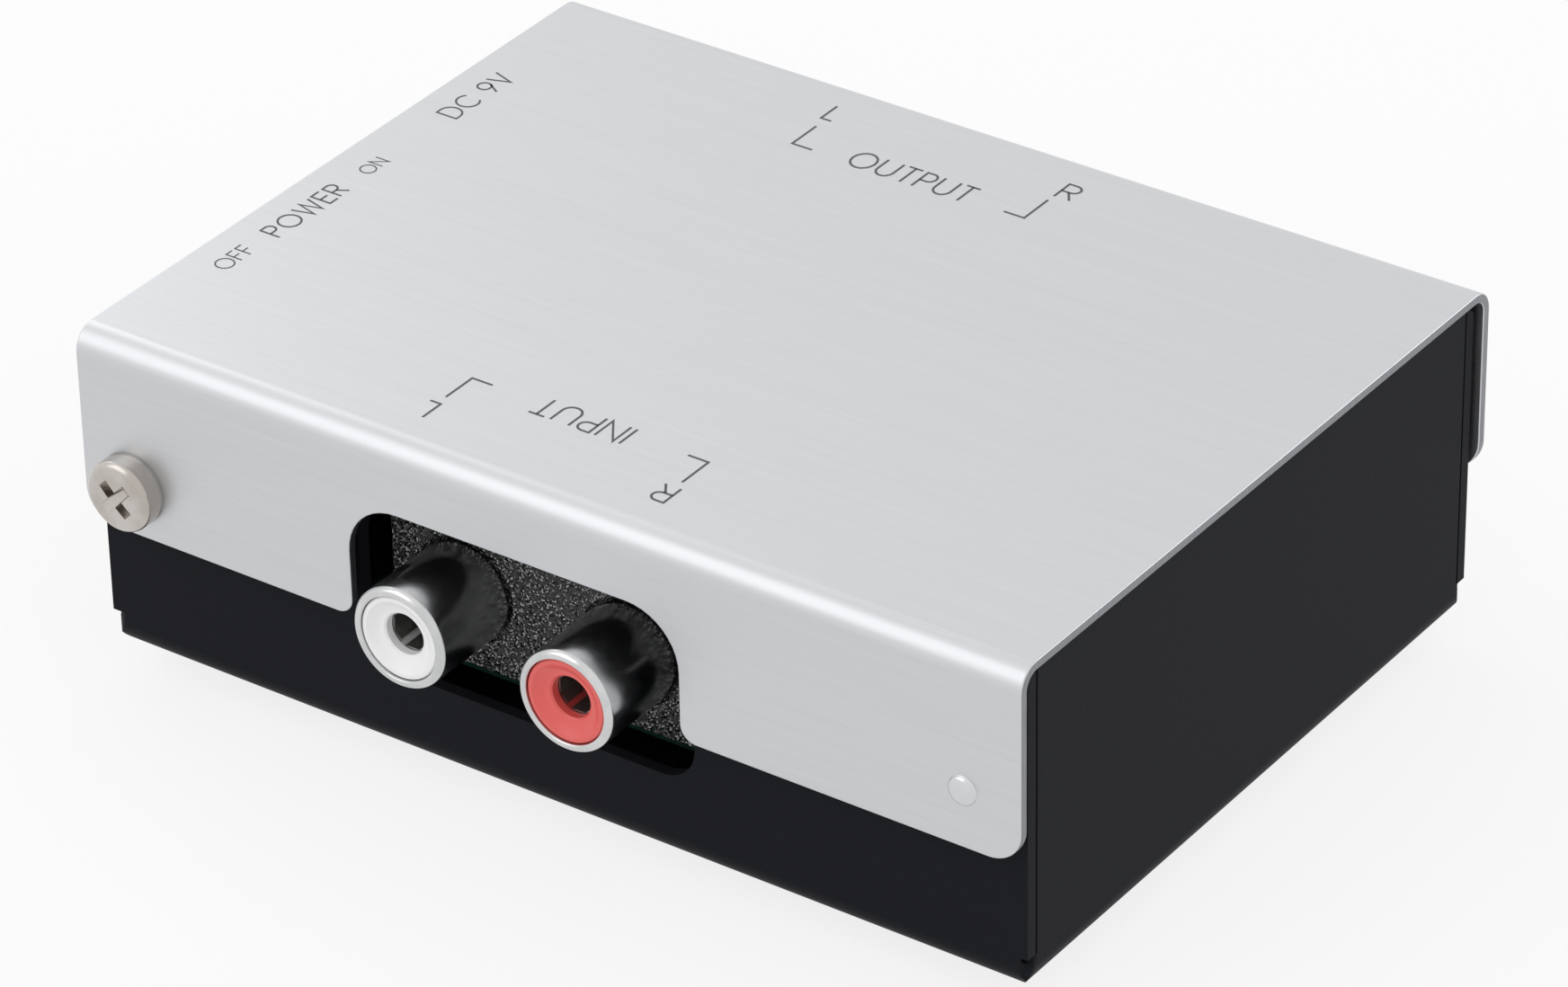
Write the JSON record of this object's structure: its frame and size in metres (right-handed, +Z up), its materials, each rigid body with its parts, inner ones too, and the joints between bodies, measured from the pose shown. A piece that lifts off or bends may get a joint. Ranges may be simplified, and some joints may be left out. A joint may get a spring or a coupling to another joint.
{
  "type": "phono preamp",
  "caption": "Small phono preamp: a brushed metal cover over a black folded tray, with input and output jack pairs, a slide power switch and a DC inlet.",
  "frame": {"origin": "centre of the footprint, on the surface that the rubber feet stand on", "axes": "+X along the long side, to the right when the input jacks face the viewer; +Y from the input jacks to the output jacks; +Z up"},
  "size_m": [0.085, 0.0712, 0.0304],
  "materials": {
    "brushed_cover": "hairline brushed along the long side, clear coated",
    "black_paint": "satin black powder coat",
    "nickel": "bright nickel plate",
    "nickel_sleeve": "bright nickel plate",
    "zinc_steel": "zinc plate",
    "rubber": "matt moulded rubber",
    "board_laminate": "solder-masked glass laminate",
    "black_moulding": "coarsely textured black moulding",
    "brown_moulding": "phenolic moulding",
    "white_liner": "glossy white moulding",
    "red_liner": "glossy red moulding",
    "tinned_metal": "tinned",
    "knob_plastic": "fine matt black moulding",
    "chip_resin": "moulded epoxy",
    "film_case": "glossy case",
    "can_sleeve": "heat-shrunk sleeve",
    "resistor_ceramic": "glazed film on ceramic"
  },
  "bodies": {
    "case": {"top_cover": "brushed_cover", "base_tray": "black_paint", "cover_screws": "nickel", "rubber_feet": "rubber", "board_standoffs": "zinc_steel", "board_screws": "zinc_steel", "circuit_board": "board_laminate", "input_jack_block": "black_moulding", "input_jack_sleeves": "nickel_sleeve", "input_jack_liner_left": "white_liner", "input_jack_liner_right": "red_liner", "input_jack_contacts": "tinned_metal", "output_jack_block": "black_moulding", "output_jack_sleeves": "nickel_sleeve", "output_jack_liner_left": "white_liner", "output_jack_liner_right": "red_liner", "output_jack_contacts": "tinned_metal", "power_switch_frame": "zinc_steel", "power_switch_base": "brown_moulding", "power_switch_tails": "tinned_metal", "dc_inlet_body": "black_moulding", "dc_inlet_pin": "nickel", "dc_inlet_leaf": "tinned_metal", "amplifier_chip_body": "chip_resin", "amplifier_chip_leads": "tinned_metal", "film_capacitors": "film_case", "coupling_capacitors": "can_sleeve", "supply_capacitors": "can_sleeve", "chip_resistors": "resistor_ceramic", "supply_diode": "chip_resin", "voltage_regulator": "chip_resin"},
    "switch_knob": {"power_switch_knob": "knob_plastic"}
  },
  "joints": [
    {"name": "power_switch_slide", "type": "slide", "parent": "case", "child": "switch_knob", "axis": [0, 1, 0], "range_m": [0, 0.0025]}
  ]
}
